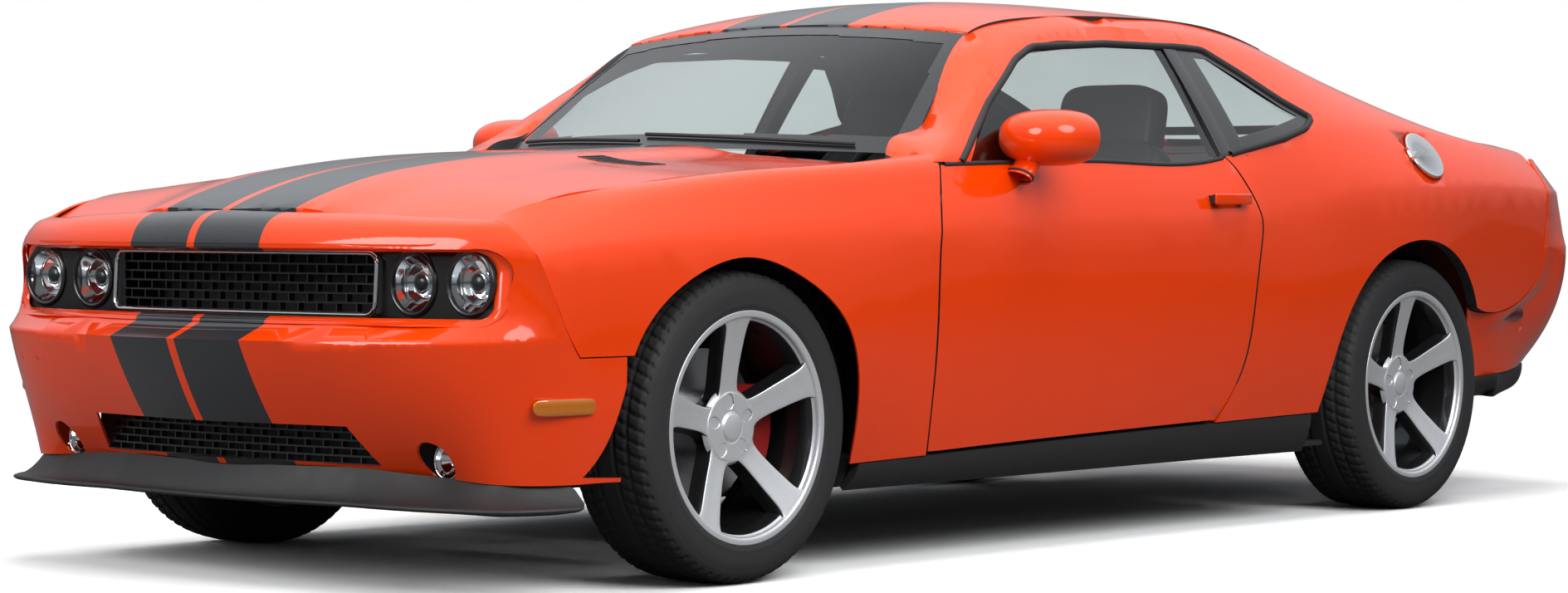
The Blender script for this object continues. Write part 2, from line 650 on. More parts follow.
# body panels as smooth copies, by slot; the bodies of those that move
copySlots = {
    "body_paint": "fenders body_sides door_left door_right front_fascia rear_fascia hood "
                  "roof_panel rear_deck_panel trunk_lid rear_spoiler",
    "black_trim": "rear_valance sills wheel_liners cowl_panel hood_vents",
    "clear_glass": "fixed_glass door_glass_left door_glass_right",
    "pipe_steel": "exhaust", "dash_plastic": "dashboard", "wheel_leather": "steering_wheel",
    "cap_chrome": "fuel_door", "red_lens": "tail_lamps", "gloss_black": "grille",
}
bodyOf = {key: key for key in ("door_left", "door_right", "hood", "trunk_lid", "steering_wheel",
                               "fuel_door")}
bodyOf.update({"rear_spoiler": "trunk_lid", "hood_vents": "hood",
               "door_glass_left": "door_left", "door_glass_right": "door_right"})
# a face is an inner one when its normal's outward and upward shares are below these
darkInside = {"body_sides": (0.15, 0.55), "door_left": (0.15, 0.55), "door_right": (0.15, 0.55),
              "roof_panel": (2.0, 0.0)}
ventLift = 0.0055


def darken(piece, outLimit, upLimit):
    # faces turned inward or across the car take a black finish
    normal, centre = [readRows(piece.data.polygons, key) for key in ("normal", "center")]
    outward = normal[:, 1] * np.sign(centre[:, 1])
    paintFaces(piece, structureBlack, (outward < outLimit) & (normal[:, 2] < upLimit))


copies = {}
for slotName, names in copySlots.items():
    for nodeName in names.split():
        copies[nodeName] = smoothCopy(nodeName, bodyOf.get(nodeName, "body"))
for nodeName, limits in darkInside.items():
    darken(copies[nodeName], *limits)

# the seams' places and the gaps that the covers' corners close: (height, x, gap)
seamSet = {
    "front": [(0.56, 2.1301, 0.000), (0.60, 2.1543, 0.003), (0.64, 2.1727, 0.008),
              (0.66, 2.1809, 0.012), (0.68, 2.1888, 0.0165), (0.70, 2.1969, 0.021),
              (0.72, 2.2055, 0.0265), (0.74, 2.2144, 0.032), (0.76, 2.2229, 0.0365),
              (0.78, 2.2302, 0.041), (0.80, 2.2360, 0.042), (0.82, 2.2404, 0.043),
              (0.84, 2.2439, 0.055)],
    "rear": [(0.48, -1.7553, 0.0), (0.56, -1.9000, 0.020), (0.60, -1.9920, 0.024),
             (0.64, -2.0560, 0.023), (0.68, -2.0890, 0.020), (0.76, -2.1110, 0.018),
             (0.80, -2.1160, 0.020), (0.84, -2.1230, 0.021), (0.88, -2.1300, 0.025),
             (0.92, -2.1370, 0.026), (0.96, -2.1450, 0.032), (1.00, -2.1540, 0.031),
             (1.04, -2.1660, 0.031)],
    "reach": 0.13, "near": 0.60, "full": 0.74, "cutBeyond": 0.55, "cutAbove": 0.50,
    "cuts": (0.05, 0.03, 0.018)}


def blendCorner(piece, table, way):
    # the corner swells out: the seam's gap, times fades with the distances ahead and inward
    work = bmesh.new()
    work.from_mesh(piece.data)
    for length in seamSet["cuts"]:
        long = [edge for edge in work.edges if edge.calc_length() > length
                and min(abs(v.co.y) for v in edge.verts) > seamSet["cutBeyond"]
                and max(v.co.z for v in edge.verts) > seamSet["cutAbove"]]
        bmesh.ops.subdivide_edges(work, edges=long, cuts=1)
    bmesh.ops.triangulate(work, faces=[face for face in work.faces if len(face.verts) > 4])
    work.to_mesh(piece.data)
    work.free()
    spots = readRows(piece.data.vertices, "co")
    heights, places, gaps = np.array(table).T
    x, y, z = spots.T
    gap = np.interp(z, heights, gaps, left=0.0)
    ahead = np.clip(1 - way * (x - np.interp(z, heights, places)) / seamSet["reach"], 0, 1)
    wide = (np.abs(y) - seamSet["near"]) / (seamSet["full"] - seamSet["near"])
    spots[:, 1] += np.sign(y) * gap * ease(ahead) * ease(np.clip(wide, 0, 1))
    setSpots(piece.data, spots)


blendCorner(copies["front_fascia"], seamSet["front"], 1)
blendCorner(copies["rear_fascia"], seamSet["rear"], -1)
spots = readRows(copies["hood_vents"].data.vertices, "co")
setSpots(copies["hood_vents"].data, spots + np.array([0.0, 0.0, ventLift], np.float32))
print("body panels ready")

# wheels
tyreSet = {"radius": 0.364, "turns": 480, "groove": 0.0055, "blocks": 72, "middle": 0.8,
           "wall": [(0.2575, 0.1085), (0.2740, 0.1185), (0.3000, 0.1222), (0.3300, 0.1195),
                    (0.3500, 0.1100), (0.3575, 0.1010)],
           "ribs": [(0.0011, 0.284, 0.0022), (0.0009, 0.338, 0.0018)],
           "treadHalf": 0.099, "crownFall": 0.0062, "rings": (0.030, 0.068), "ringWidth": 0.0042,
           "lean": 1.1, "tooth": 0.13, "toothFrom": 0.040, "treadWithin": 0.112,
           "treadAbove": 0.343}
rimSet = {"turns": 240, "hubFace": 0.064, "lipFace": 0.1135, "spokes": 5, "phase": 6.2,
          "hubRadius": 0.084, "rootRadius": 0.2555, "narrow": 0.052, "wide": 0.074, "deep": 0.040,
          "brightBeyond": 0.1035, "pocketPlace": 0.0595, "corner": 0.0022,
          "barrel": [(0.2715, 0.1100), (0.2715, 0.1190), (0.2585, 0.1180), (0.2545, 0.1145),
                     (0.2530, 0.1060), (0.2470, 0.1000), (0.2395, 0.0700), (0.2370, 0.0000),
                     (0.2370, -0.0600), (0.2500, -0.1020), (0.2600, -0.1090), (0.2600, -0.1180),
                     (0.2690, -0.1180), (0.2690, -0.1100)],
          "nut": [(0.0105, 0.030), (0.0105, 0.054), (0.0088, 0.0565), (0.0001, 0.0570)],
          "nutTurns": 36, "spokeEnds": (0.030, 0.2565), "rootFlare": (0.018, 0.010),
          "hubFlare": (0.013, 0.070, 0.017), "middleSink": 0.035,
          "section": [(0.5, 0.02), (0.90, 0.0), (0.965, 0.012), (1.0, 0.05), (1.10, 0.5),
                      (1.30, 1.0)]}
hubSet = {"radius": 0.090, "turns": 300, "proud": 0.0012, "edge": (0.076, 0.014, 0.012),
          "oval": (0.0185, 0.0135), "pocketDepth": 0.016, "cap": (0.0335, 0.004, 0.0035),
          "dome": (0.033, 0.0045), "groove": (0.0365, 0.0012, 0.0020)}
axlePlaces = {"front": frontAxle, "rear": rearAxle}


def tyreBlock():
    # sidewall from bead to shoulder, then a crowned tread: its radius less the grooves' depth
    side = smoothPath(tyreSet["wall"], 30)
    for high, at, width in tyreSet["ribs"]:
        side[:, 1] += high * np.exp(-((side[:, 0] - at) / width) ** 2)
    wide = np.linspace(tyreSet["treadHalf"], -tyreSet["treadHalf"], 45)
    fall = tyreSet["crownFall"] * np.abs(wide / tyreSet["treadHalf"]) ** 3.2
    tread = np.stack([tyreSet["radius"] - fall, wide], 1)
    profile = np.concatenate([side, tread, side[::-1] * [1, -1]])
    grid = lathe(profile, tyreSet["turns"])
    angle = np.linspace(0, 2 * math.pi, tyreSet["turns"], endpoint=False)[:, None]
    r, w = profile[:, 0][None], np.abs(profile[:, 1])[None]
    onTread = (w < tyreSet["treadWithin"]) & (r > tyreSet["treadAbove"])
    rings = sum(np.exp(-((w - at) / tyreSet["ringWidth"]) ** 4) for at in tyreSet["rings"])
    pitch = ((angle + tyreSet["lean"] * w) * tyreSet["blocks"] / (2 * math.pi)) % 1.0
    teeth = (np.abs(pitch - 0.5) < tyreSet["tooth"]) & (w > tyreSet["toothFrom"])
    cut = np.where(onTread, np.clip(rings + 0.75 * teeth, 0, 1), 0.0) * tyreSet["groove"]
    grid[..., [0, 2]] *= (1 - cut / r)[..., None]
    return grid, ringFaces(tyreSet["turns"], len(profile))


def rimBarrel():
    # a bright stepped lip outside, then the black well of the barrel
    profile = rounded(rimSet["barrel"], rimSet["corner"])
    turns = rimSet["turns"]
    black = np.tile(profile[:-1, 1] <= rimSet["brightBeyond"], turns)
    return lathe(profile, turns), ringFaces(turns, len(profile)), black


def spokeBlock(turn):
    # r runs out along the spoke, t across it; its face dishes in to the hub, both roots flare
    r = np.linspace(*rimSet["spokeEnds"], 56)
    hub, root = rimSet["hubRadius"], rimSet["rootRadius"]
    share = np.clip((r - hub) / (root - hub), 0, 1)
    face = rimSet["hubFace"] + (rimSet["lipFace"] - rimSet["hubFace"]) * share ** 1.25
    half = (rimSet["narrow"] + (rimSet["wide"] - rimSet["narrow"]) * share) / 2
    wide, fade = rimSet["rootFlare"]
    half = half + wide * np.exp(-(root - r) / fade)
    wide, place, fade = rimSet["hubFlare"]
    half = half + wide * np.exp(-np.abs(r - place) / fade)
    right = np.array(rimSet["section"])
    section = np.concatenate([right[::-1] * [-1, 1], [[0.0, rimSet["middleSink"]]], right])
    t = half[:, None] * section[:, 0]
    w = face[:, None] - rimSet["deep"] * section[:, 1]
    angle = math.radians(90 - rimSet["phase"] + turn)
    x = r[:, None] * math.cos(angle) - t * math.sin(angle)
    z = r[:, None] * math.sin(angle) + t * math.cos(angle)
    column = np.tile(np.arange(len(section) - 1), len(r) - 1)
    flank = (column < 2) | (column > len(section) - 4)
    return np.stack([x, w, z], -1), gridFaces(len(r), len(section)), flank


def hubBlock():
    # a flat hub with an oval pocket at each spoke and a domed plain cap: height over the plane
    r = np.concatenate([[0.0001], np.linspace(0.006, hubSet["radius"], 44)])
    radius, turn = np.meshgrid(r, np.linspace(0, 2 * math.pi, hubSet["turns"], endpoint=False))
    start, width, fall = hubSet["edge"]
    w = rimSet["hubFace"] + hubSet["proud"] - fall * np.clip((radius - start) / width, 0, 1) ** 2
    pocket = np.zeros_like(w)
    long, short = hubSet["oval"]
    for k in range(rimSet["spokes"]):
        middle = math.radians(90 - rimSet["phase"] + 72 * k)
        away = radius * np.cos(turn - middle) - rimSet["pocketPlace"]
        beside = radius * np.sin(turn - middle)
        oval = np.hypot(away / long, beside / short)
        pocket = np.maximum(pocket, np.clip((1.0 - oval) * 5.0, 0, 1))
    w = w - hubSet["pocketDepth"] * ease(pocket)
    end, width, rise = hubSet["cap"]
    w = w + ease(np.clip((end - radius) / width, 0, 1)) * rise
    end, rise = hubSet["dome"]
    w = w + rise * np.clip(1 - (radius / end) ** 2, 0, 1)
    place, width, depth = hubSet["groove"]
    w = w - depth * np.exp(-((radius - place) / width) ** 2)
    grid = np.stack([radius * np.cos(turn), w, radius * np.sin(turn)], -1)
    return grid, ringFaces(hubSet["turns"], len(r)), (pocket[:, :-1] > 0.35).ravel()


def nutBlock(turn):
    # a hexagon nut: six flats round a crowned end
    turns, profile = rimSet["nutTurns"], rimSet["nut"]
    angle = math.radians(90 - rimSet["phase"] + turn)
    grid = lathe(profile, turns)
    around = np.linspace(0, 2 * math.pi, turns, endpoint=False)
    sixth = math.pi / 3
    flats = math.cos(sixth / 2) / np.cos((around + sixth / 2) % sixth - sixth / 2)
    for axis, share in ((0, math.cos(angle)), (2, math.sin(angle))):
        grid[..., axis] = grid[..., axis] * flats[:, None] + rimSet["pocketPlace"] * share
    return grid, ringFaces(turns, len(profile))


def facingOut(points, faces, centre):
    # keeps the winding whose normals point away from a centre
    return handed(faces, (vertexNormals(points, faces) * (points - centre)).sum())


def placed(points, faces, x, side):
    # a wheel's part moved from the middle of its own axle to one corner of the car
    moved = points * [1.0, side, 1.0] + [x, side * tyreSet["middle"], tyreSet["radius"]]
    return moved, handed(faces, side)


tyrePoints, tyreFaces = joined([tyreBlock()])
tyreFaces = facingOut(tyrePoints, tyreFaces, tyrePoints * [0.0, 1.0, 0.0])
rimBlocks = [rimBarrel(), hubBlock()] + [spokeBlock(72 * k) for k in range(rimSet["spokes"])]
rimPoints, rimFaces = joined([block[:2] for block in rimBlocks])
rimBlack = np.concatenate([block[2] for block in rimBlocks])
nutPoints, nutFaces = joined([nutBlock(72 * k) for k in range(rimSet["spokes"])])
for end, name in wheelCorners:
    corner, spot = end + "_" + name, (axlePlaces[end], 1 if name == "left" else -1)
    body = "wheel_" + corner
    makePiece("treadTyre_" + corner, *placed(tyrePoints, tyreFaces, *spot), tyreRubber, body,
              "tyre_rubber", ("tyre_" + corner,))
    rim = makePiece("spokedRim_" + corner, *placed(rimPoints, rimFaces, *spot), alloyBright, body,
                    "wheel_alloy", ("rim_" + corner,))
    paintFaces(rim, wheelBlack, rimBlack)
    makePiece("wheelNuts_" + corner, *placed(nutPoints, nutFaces, *spot), chromeBright, body,
              "wheel_alloy", smooth=False)
print("wheels ready")

# nose: lamps, chrome surround and markers
lampPlaces = [(2.2787, 0.5567, 0.7018), (2.2787, 0.7365, 0.7040)]
fogPlaces = [(2.2500, 0.6384, 0.3089)]
nosePlan = [(2.0, 0.0), (1.990, 0.229), (1.960, 0.447), (1.920, 0.624), (1.861, 0.770),
            (1.780, 0.879), (1.695, 0.929), (1.588, 0.952), (1.441, 0.963)]
tailPlan = [(-1.0, 0.0), (-0.996, 0.312), (-0.986, 0.572), (-0.968, 0.749), (-0.928, 0.853),
            (-0.857, 0.915), (-0.742, 0.946), (-0.591, 0.955), (-0.262, 0.975)]


def latheAt(place, profile, turns, side):
    # a profile turned about a line along X through a place
    grid = lathe(profile, turns, "x") + [place[0], place[1] * side, place[2]]
    return grid, ringFaces(turns, len(profile))


def capProfile(radius, base, rise, count):
    # a shallow dome's profile from its rim to its top
    return [(radius * math.sin(t), base + rise * math.cos(t))
            for t in np.linspace(math.pi / 2, 0.01, count)]


def lampPiece(name, profile, finish, slotName, turns=72, places=lampPlaces, way=1, hides=()):
    # one turned profile at every place, on both sides; way -1 shows its hollow side
    points, faces = joined([latheAt(place, profile, turns, side)
                            for place in places for side in (1, -1)])
    makePiece(name, points, handed(faces, way), finish, "body", slotName, hides)


lampPiece("lampReflectors", rounded([(0.0645, 0.0010), (0.0600, -0.0100), (0.0520, -0.0300),
          (0.0380, -0.0450), (0.0260, -0.0480)], 0.004), chromeBright, "lamp_metal", 96, way=-1,
          hides=("front_lamps",))
lampPiece("projectorRings", rounded([(0.0270, -0.0480), (0.0270, -0.0230), (0.0215, -0.0200),
          (0.0210, -0.0260)], 0.002), chromeBright, "lamp_metal")
lampPiece("projectorLenses", capProfile(0.0215, -0.0250, 0.0110, 12), glossBlack, "lamp_metal")
lampPiece("lampBezels", rounded([(0.0760, -0.0030), (0.0750, 0.0050), (0.0690, 0.0085),
          (0.0640, 0.0060), (0.0630, -0.0040)], 0.002), glossBlack, "gloss_black", 96)
lampPiece("lampCovers", capProfile(0.0640, -0.0010, 0.0130, 14), clearGlass, "clear_glass", 96)
lampPiece("fogReflectors", rounded([(0.0430, 0.0050), (0.0400, 0.0080), (0.0370, 0.0050),
          (0.0340, -0.0080), (0.0180, -0.0250), (0.0060, -0.0260), (0.0001, -0.0200)], 0.002),
          chromeBright, "lamp_metal", places=fogPlaces, way=-1)

# the chrome line round the grille: a rounded oblong on the nose's own curve
corner, halfWide, lowZ, highZ = 0.026, 0.452, 0.629, 0.768
ends, quarter = (halfWide - corner, lowZ + corner, highZ - corner), np.linspace(0, math.pi / 2, 8)
loop = []
for start, (cy, cz) in enumerate([(ends[0], ends[2]), (-ends[0], ends[2]), (-ends[0], ends[1]),
                                  (ends[0], ends[1])]):
    for t in quarter + start * math.pi / 2:
        loop.append((cy + corner * math.cos(t), cz + corner * math.sin(t)))
loop = resample(loop + [loop[0]], 361)[:-1]
bow = 0.022 * (loop[:, 0] / halfWide) ** 2 + 0.06 * (loop[:, 1] - 0.70)
points, faces = tube(np.stack([2.3165 - bow, loop[:, 0], loop[:, 1]], 1), 0.0058, 12, closed=True)
makePiece("grilleSurround", points, faces, chromeBright, "body", "lamp_metal")


def marker(name, box, plan, sink, finish):
    # a long lens: x and z on a grid with rounded ends, y from the bumper's plan curve
    x0, x1, z0, z1 = box
    u, v = np.linspace(-1, 1, 41)[:, None], np.linspace(-1, 1, 13)[None, :]
    x = (x0 + x1) / 2 + (x1 - x0) / 2 * u * (1 - 0.10 * np.abs(v) ** 3)
    z = (z0 + z1) / 2 + (z1 - z0) / 2 * v * (1 - 0.15 * np.abs(u) ** 6) + 0 * x
    crown = 0.0022 * (1 - u ** 4) * (1 - v ** 4)
    y = tableLine(plan, 1, carSet["halfWidth"])(x) + sink + crown
    panel(name, np.stack([x, y, z], -1), finish, "red_lens", 0.0015, 0.006)


marker("frontMarkers", (2.076, 2.235, 0.416, 0.451), nosePlan, 0.0008, amberLens)
marker("rearMarkers", (-2.050, -1.870, 0.540, 0.578), tailPlan, -0.0230, darkRedLens)
print("nose details ready")

# glass borders, mouldings and wipers
# (centre place, centre height, edge place, half width, edge height) from one end to the other
windshieldRows = [(0.8045, 0.706, 0.715, 0.770, 0.694), (0.7025, 0.830, 0.650, 0.700, 0.806),
                  (0.597, 0.938, 0.583, 0.630, 0.915)]
rearWindowRows = [(0.0925, 0.9535, 0.114, 0.630, 0.914), (-0.062, 0.868, -0.012, 0.650, 0.845),
                  (-0.352, 0.757, -0.290, 0.675, 0.767)]


def paneAt(rows, y, v):
    # a parabola through three points that each slide back with the square of y;
    # v runs from row to row
    spots = []
    for centre, high, edge, half, low in rows:
        t = (y / (half * carSet["halfWidth"])) ** 2
        x = along(centre) + (along(edge) - along(centre)) * t
        z = (high + (low - high) * t) * carSet["height"]
        spots.append(np.stack([x, z], -1))
    first, middle, last = spots
    m = 0.5
    a, b, c = (v - m) * (v - 1) / m, v * (v - 1) / (m * (m - 1)), v * (v - m) / (1 - m)
    at = a[..., None] * first + b[..., None] * middle + c[..., None] * last
    return np.stack([at[..., 0], y + 0 * v, at[..., 1]], -1)


def paneBorder(name, rows, plan, edges, lift):
    # a black band round a pane: faces of its raised grid nearer than an edge width to a border
    v, u = np.meshgrid(np.linspace(*plan, 90), np.linspace(-1, 1, 181))
    pane = paneAt(rows, u * 0.5, v)
    for _ in range(3):
        pane = paneAt(rows, u * (edgeHalf(pane[..., 0]) + 0.004), v)
    n, m = pane.shape[:2]
    normals = vertexNormals(pane.reshape(-1, 3), gridFaces(n, m)).reshape(n, m, 3)
    grid = pane + normals * np.sign(normals[..., 2].sum()) * lift
    side, low, high = edges
    inward = (1 - np.abs(u)) * edgeHalf(pane[..., 0])
    run = np.array([runOf(row) for row in grid])
    near = (inward < side) | (run < low) | (run[:, -1:] - run < high)
    keep = near[:-1, :-1] & near[1:, 1:] & near[1:, :-1] & near[:-1, 1:]
    used, faces = np.unique(gridFaces(n, m)[keep.ravel()], return_inverse=True)
    points, faces = grid.reshape(-1, 3)[used], faces.reshape(-1, 4)
    upward = vertexNormals(points, faces)[:, 2].sum()
    makePiece(name, points, handed(faces, upward), glossBlack, "body", "gloss_black")


paneBorder("windshieldBorder", windshieldRows, (0.0, 0.995), (0.050, 0.075, 0.060), 0.0012)
paneBorder("rearWindowBorder", rearWindowRows, (0.02, 0.97), (0.045, 0.045, 0.055), -0.0028)


def moulding(name, rows, half, bodies, radius, proud):
    # a rubber bead along points in side view, set on the body's surface
    line = sideLine(rows, 140)
    line[1:-1] = (line[:-2] + line[1:-1] * 2 + line[2:]) / 4
    path = np.stack([line[:, 0], half(line[:, 0], line[:, 1]) + proud, line[:, 1]], 1)
    for side, word, body in ((1, "Left", bodies[0]), (-1, "Right", bodies[1])):
        points, faces = tube(path * [1, side, 1], radius, 8)
        makePiece(name + word, points, handed(faces, side), blackTrim, body, "black_trim")


doorBodies = ("door_left", "door_right")
quarterTop = [(0.299, 0.911)] + bodyLines["quarterTop"][1:]
moulding("windowMoulding", bodyLines["window"] + quarterTop + bodyLines["quarterLow"][1:], railY,
         ("body", "body"), 0.0105, -0.0030)
beltRows = [(s, float(beltHeight(along(s))) / carSet["height"] + 0.001)
            for s in np.linspace(0.735, 0.318, 24)]
moulding("beltMoulding", beltRows, lambda x, z: beltHalf(x) - 0.004, doorBodies, 0.0065, 0.0010)
postEdges = [sideLine(rows, count) for rows, count in (
    ([(0.318, 0.700), (0.301, 0.704)], 2), ([(0.318, 0.908), (0.300, 0.908)], 2),
    ([(0.318, 0.700), (0.318, 0.908)], 30), ([(0.301, 0.704), (0.300, 0.908)], 30))]
panel("postCover", onRail(coons(*postEdges), 0.0012), glossBlack, "gloss_black", 0.001, 0.003)


def band(line, width, steps=8):
    # a strip on the window's surface, from a side-view line to the line moved along its normals
    line = np.asarray(line, float)
    way = np.gradient(line, axis=0)
    way /= np.linalg.norm(way, axis=1, keepdims=True)
    across = np.stack([-way[:, 1], way[:, 0]], 1)
    share = np.linspace(0.0, 1.0, steps)[None, :, None]
    return onRail(line[:, None] + across[:, None] * width * share, -0.0026)


for key, rows, width in (("Front", [(0.303, 0.704), (0.300, 0.910)], 0.070),
                         ("Top", quarterTop, 0.026), ("Low", bodyLines["quarterLow"], 0.034)):
    panel("quarterBorder" + key, band(sideLine(rows), width), glossBlack, "gloss_black", 0.0005,
          0.001)


def wiper(name, start, end, lift):
    # a thin blade a little above the windshield, between two (y, v) places
    share = np.linspace(0, 1, 60)
    y, v = start[0] + (end[0] - start[0]) * share, start[1] + (end[1] - start[1]) * share
    path = paneAt(windshieldRows, y, v)
    path[:, 2] += lift
    points, faces = tube(path, 0.0050, 8)
    makePiece(name, points, faces, blackTrim, "body", "black_trim")


wiper("wiperLeft", (0.60, 0.035), (0.02, 0.075), 0.010)
wiper("wiperRight", (0.02, 0.030), (-0.55, 0.075), 0.010)
print("trim ready")

# seats
# (centre, half sizes, lean in degrees, sewn channels); the first three stand on both sides
frontCushions = [((-0.170, 0.400, 0.435), (0.245, 0.235, 0.070), 6.0, 0),
                 ((-0.480, 0.400, 0.745), (0.070, 0.240, 0.330), 15.0, 5),
                 ((-0.590, 0.400, 1.105), (0.058, 0.165, 0.115), 12.0, 0)]
rearCushions = [((-0.915, 0.0, 0.430), (0.150, 0.600, 0.070), 6.0, 0),
                ((-1.035, 0.0, 0.700), (0.050, 0.600, 0.240), 10.0, 9)]


def power(value, exponent):
    # the size raised to a power, with its sign kept
    return np.sign(value) * np.abs(value) ** exponent


def cushion(centre, half, lean, channels):
    # a rounded box: cosines and sines raised to a power, leaned back, with shallow channels
    u, v = np.meshgrid(np.linspace(-math.pi, math.pi, 97),
                       np.linspace(-math.pi / 2, math.pi / 2, 57))
    square = 0.42
    x = power(np.cos(v), square) * power(np.cos(u), square) * half[0]
    y = power(np.cos(v), square) * power(np.sin(u), square) * half[1]
    z = power(np.sin(v), square) * half[2]
    if channels:
        groove = np.abs(np.sin(y / half[1] * channels * math.pi / 2)) ** 0.35
        x = x + np.where(x > 0, (groove - 1) * 0.006, 0.0)
    sine, cosine = math.sin(math.radians(lean)), math.cos(math.radians(lean))
    turned = np.stack([x * cosine - z * sine, y, x * sine + z * cosine], -1)
    return turned + np.array(centre), gridFaces(*u.shape)


seatBlocks = [cushion((x, y * side, z), *others) for side in (1, -1)
              for (x, y, z), *others in frontCushions]
points, faces = joined(seatBlocks + [cushion(*row) for row in rearCushions])
lift = (vertexNormals(points, faces)[:, 2] * (points[:, 2] - 0.6)).sum()
seatPiece = makePiece("seatCushions", points, handed(faces, lift), seatLeather, "body",
                      "seat_leather", ("seats",))
print("seats ready")

# splitter blade: (share, out of the low back, of the edge, of the upper back, then their heights)
blade = {"wrap": 0.90, "overhang": 0.93, "half": 0.0065,
         "rows": [(0.0, -0.250, -0.138, -0.176, 0.137, 0.143, 0.190),
                  (0.354, -0.245, -0.136, -0.190, 0.137, 0.143, 0.193),
                  (0.62, -0.160, -0.062, -0.155, 0.137, 0.143, 0.182),
                  (0.74, -0.085, -0.010, -0.082, 0.137, 0.143, 0.177),
                  (0.885, -0.060, 0.004, -0.034, 0.138, 0.144, 0.176),
                  (1.0, -0.060, -0.004, -0.031, 0.139, 0.145, 0.176)]}
plan = np.array([(float(along(s)), w * carSet["halfWidth"]) for s, w in nosePlan])
planLine = smoothPath(np.concatenate([plan[:0:-1] * [1, -1], plan]), 1601)
planRun = runOf(planLine)
planRun = planRun / planRun[-1] * 2 - 1
planWay = np.gradient(planLine, axis=0)
planWay /= np.linalg.norm(planWay, axis=1, keepdims=True)


def wrapPoint(share, out, z):
    # the plan outline's point at a share of its length, moved out along its normal, at a height
    at = np.stack([np.interp(share, planRun, planLine[:, k]) for k in (0, 1)], -1)
    way = np.stack([np.interp(share, planRun, planWay[:, k]) for k in (0, 1)], -1)
    away = np.stack([way[..., 1], -way[..., 0]], -1)
    place = at + away * out[..., None]
    return np.concatenate([place, z[..., None]], -1)


def bladeSection(share):
    # back of the top, hollow slope, rounded edge and flat underside, by the table's shares
    rows = np.array(blade["rows"])
    low, edge, back, lowZ, edgeZ, backZ = [np.interp(np.abs(share), rows[:, 0], rows[:, k])
                                           for k in range(1, 7)]
    over, tall, half = blade["overhang"], carSet["height"], blade["half"]
    t = np.linspace(0, 1, 12)
    slopeOut = back * over + (edge - back) * over * t
    slopeZ = (edgeZ * tall + half) + (backZ - edgeZ) * tall * (1 - t) ** 1.8
    turn = np.linspace(math.pi / 2, -math.pi / 2, 9)[1:-1]
    noseOut, noseZ = edge * over + half * np.cos(turn) * 1.6, edgeZ * tall + half * np.sin(turn)
    underOut, underZ = np.array([edge, low]) * over, np.array([edgeZ, lowZ]) * tall - half
    return np.concatenate([slopeOut, noseOut, underOut]), np.concatenate([slopeZ, noseZ, underZ])


shares = np.linspace(-blade["wrap"], blade["wrap"], 181)
outs, heights = np.array([bladeSection(share) for share in shares]).transpose(1, 0, 2)
tip = np.clip((np.abs(shares) - blade["wrap"] + 0.03) / 0.03, 0, 1)[:, None]
shrink = np.sqrt(1 - 0.998 * tip ** 2)
outs, heights = [rows.mean(1, keepdims=True) + (rows - rows.mean(1, keepdims=True)) * shrink
                 for rows in (outs, heights)]
sheet = wrapPoint(np.repeat(shares[:, None], outs.shape[1], 1), outs, heights)
points, faces = sheet.reshape(-1, 3), gridFaces(*sheet.shape[:2])
lift = vertexNormals(points, faces).reshape(sheet.shape)[:, 3, 2].sum()
makePiece("splitterBlade", points, handed(faces, lift), blackTrim, "body", "black_trim",
          ("front_splitter",))

# door mirrors: a shell flattened at its glass, on a stalk with a gasket
mirrorSet = {"centre": (0.430, 0.945, 1.051), "half": (0.122, 0.134, 0.072), "square": 0.80,
             "round": 0.9, "flat": -0.030, "foot": (0.520, 0.905, 0.948),
             "neck": (0.450, 0.925, 1.031), "footRadius": (0.052, 0.026),
             "neckRadius": (0.038, 0.020), "rings": 24, "sides": 40}
u, v = np.meshgrid(np.linspace(-math.pi, math.pi, 121), np.linspace(-math.pi / 2, math.pi / 2, 61))
square, bend = mirrorSet["square"], mirrorSet["round"]
shell = np.stack([power(np.cos(v), square) * power(np.cos(u), bend),
                  power(np.cos(v), square) * power(np.sin(u), bend),
                  power(np.sin(v), square)], -1) * mirrorSet["half"]
shell[..., 0] = np.maximum(shell[..., 0], mirrorSet["flat"])
shell = shell + mirrorSet["centre"]
share = np.linspace(0, 1, mirrorSet["rings"])[:, None]
foot, neck = np.array(mirrorSet["foot"]), np.array(mirrorSet["neck"])
way = (neck - foot) / np.linalg.norm(neck - foot)
wide = np.cross(way, [0, 0, 1.0])
wide = np.cross(wide / np.linalg.norm(wide), way)
thin = np.cross(way, wide)
ring = np.linspace(0, 2 * math.pi, mirrorSet["sides"], endpoint=False)[None, :, None]
sizes = [mirrorSet["footRadius"][k] * (1 - share) + mirrorSet["neckRadius"][k] * share
         for k in (0, 1)]
stalk = ((foot * (1 - share) + neck * share)[:, None] + np.cos(ring) * sizes[1][:, None] * wide
         + np.sin(ring) * sizes[0][:, None] * thin)
gasket, gasketFaces = tube(stalk[2], 0.0035, 8, closed=True)
for side, word, door in ((1, "Left", doorBodies[0]), (-1, "Right", doorBodies[1])):
    flip = np.array([1, side, 1])
    parts = [(shell, gridFaces(*u.shape), mirrorSet["centre"] * flip),
             (stalk, tubeFaces(mirrorSet["rings"], mirrorSet["sides"]), (foot + neck) / 2 * flip)]
    blocks = []
    for grid, faces, centre in parts:
        points = grid.reshape(-1, 3) * flip
        blocks.append((points, facingOut(points, faces, centre)))
    points, faces = joined(blocks)
    makePiece("mirrorShell" + word, points, faces, orangePaint, door, "body_paint",
              ("mirror_" + word.lower(),))
    makePiece("mirrorGasket" + word, gasket * flip, handed(gasketFaces, side), blackTrim, door,
              "black_trim")
print("blade and mirrors ready")

